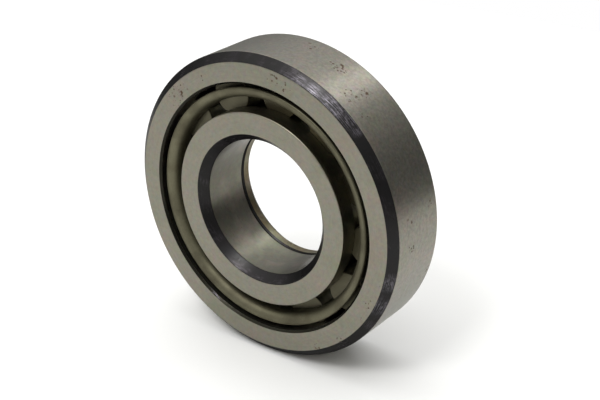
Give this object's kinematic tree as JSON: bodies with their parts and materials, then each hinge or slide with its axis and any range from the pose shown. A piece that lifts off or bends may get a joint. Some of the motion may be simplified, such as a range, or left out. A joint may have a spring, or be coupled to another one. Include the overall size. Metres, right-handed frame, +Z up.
{
  "type": "cylindrical roller bearing",
  "caption": "Cylindrical roller bearing: flanged outer ring, flanged inner ring with a loose thrust collar, and rollers held apart by a pressed steel window cage.",
  "frame": {"origin": "centre of the bearing: on its axis, halfway between its two faces", "axes": "+Y along the bearing's axis, from the face with the inner ring's own flange to the face with the loose thrust collar; +Z up, with the bearing standing on its rim"},
  "size_m": [0.09, 0.023, 0.09],
  "materials": {
    "ring_steel": "ground, with black hardened chamfers",
    "collar_steel": "ground",
    "cage_steel": "pressed, matt",
    "roller_steel": "lapped"
  },
  "bodies": {
    "outer_ring": {"outer_ring": "ring_steel"},
    "inner_ring": {"inner_ring": "ring_steel"},
    "thrust_collar": {"thrust_collar": "collar_steel"},
    "cage": {"cage": "cage_steel"},
    "roller_01": {"roller_01": "roller_steel"},
    "roller_02": {"roller_02": "roller_steel"},
    "roller_03": {"roller_03": "roller_steel"},
    "roller_04": {"roller_04": "roller_steel"},
    "roller_05": {"roller_05": "roller_steel"},
    "roller_06": {"roller_06": "roller_steel"},
    "roller_07": {"roller_07": "roller_steel"},
    "roller_08": {"roller_08": "roller_steel"},
    "roller_09": {"roller_09": "roller_steel"},
    "roller_10": {"roller_10": "roller_steel"},
    "roller_11": {"roller_11": "roller_steel"},
    "roller_12": {"roller_12": "roller_steel"}
  },
  "joints": [
    {"name": "inner_ring_spin", "type": "hinge", "parent": "outer_ring", "child": "inner_ring", "pos_m": [0, 0, 0], "axis": [0, 1, 0], "continuous": true},
    {"name": "thrust_collar_slide", "type": "slide", "parent": "inner_ring", "child": "thrust_collar", "axis": [0, 1, 0], "range_m": [0, 0.012]},
    {"name": "cage_spin", "type": "hinge", "parent": "outer_ring", "child": "cage", "pos_m": [0, 0, 0], "axis": [0, 1, 0], "continuous": true},
    {"name": "roller_01_spin", "type": "hinge", "parent": "cage", "child": "roller_01", "pos_m": [0.02992, 0, 0.01332], "axis": [0, 1, 0], "continuous": true},
    {"name": "roller_02_spin", "type": "hinge", "parent": "cage", "child": "roller_02", "pos_m": [0.01925, 0, 0.0265], "axis": [0, 1, 0], "continuous": true},
    {"name": "roller_03_spin", "type": "hinge", "parent": "cage", "child": "roller_03", "pos_m": [0.00342, 0, 0.03257], "axis": [0, 1, 0], "continuous": true},
    {"name": "roller_04_spin", "type": "hinge", "parent": "cage", "child": "roller_04", "pos_m": [-0.01332, 0, 0.02992], "axis": [0, 1, 0], "continuous": true},
    {"name": "roller_05_spin", "type": "hinge", "parent": "cage", "child": "roller_05", "pos_m": [-0.0265, 0, 0.01925], "axis": [0, 1, 0], "continuous": true},
    {"name": "roller_06_spin", "type": "hinge", "parent": "cage", "child": "roller_06", "pos_m": [-0.03257, 0, 0.00342], "axis": [0, 1, 0], "continuous": true},
    {"name": "roller_07_spin", "type": "hinge", "parent": "cage", "child": "roller_07", "pos_m": [-0.02992, 0, -0.01332], "axis": [0, 1, 0], "continuous": true},
    {"name": "roller_08_spin", "type": "hinge", "parent": "cage", "child": "roller_08", "pos_m": [-0.01925, 0, -0.0265], "axis": [0, 1, 0], "continuous": true},
    {"name": "roller_09_spin", "type": "hinge", "parent": "cage", "child": "roller_09", "pos_m": [-0.00342, 0, -0.03257], "axis": [0, 1, 0], "continuous": true},
    {"name": "roller_10_spin", "type": "hinge", "parent": "cage", "child": "roller_10", "pos_m": [0.01332, 0, -0.02992], "axis": [0, 1, 0], "continuous": true},
    {"name": "roller_11_spin", "type": "hinge", "parent": "cage", "child": "roller_11", "pos_m": [0.0265, 0, -0.01925], "axis": [0, 1, 0], "continuous": true},
    {"name": "roller_12_spin", "type": "hinge", "parent": "cage", "child": "roller_12", "pos_m": [0.03257, 0, -0.00342], "axis": [0, 1, 0], "continuous": true}
  ],
  "couplings": [
    {"joint": "cage_spin", "follows": "inner_ring_spin", "ratio": 0.4084},
    {"joint": "roller_01_spin", "follows": "inner_ring_spin", "ratio": -2.6376},
    {"joint": "roller_02_spin", "follows": "inner_ring_spin", "ratio": -2.6376},
    {"joint": "roller_03_spin", "follows": "inner_ring_spin", "ratio": -2.6376},
    {"joint": "roller_04_spin", "follows": "inner_ring_spin", "ratio": -2.6376},
    {"joint": "roller_05_spin", "follows": "inner_ring_spin", "ratio": -2.6376},
    {"joint": "roller_06_spin", "follows": "inner_ring_spin", "ratio": -2.6376},
    {"joint": "roller_07_spin", "follows": "inner_ring_spin", "ratio": -2.6376},
    {"joint": "roller_08_spin", "follows": "inner_ring_spin", "ratio": -2.6376},
    {"joint": "roller_09_spin", "follows": "inner_ring_spin", "ratio": -2.6376},
    {"joint": "roller_10_spin", "follows": "inner_ring_spin", "ratio": -2.6376},
    {"joint": "roller_11_spin", "follows": "inner_ring_spin", "ratio": -2.6376},
    {"joint": "roller_12_spin", "follows": "inner_ring_spin", "ratio": -2.6376}
  ]
}
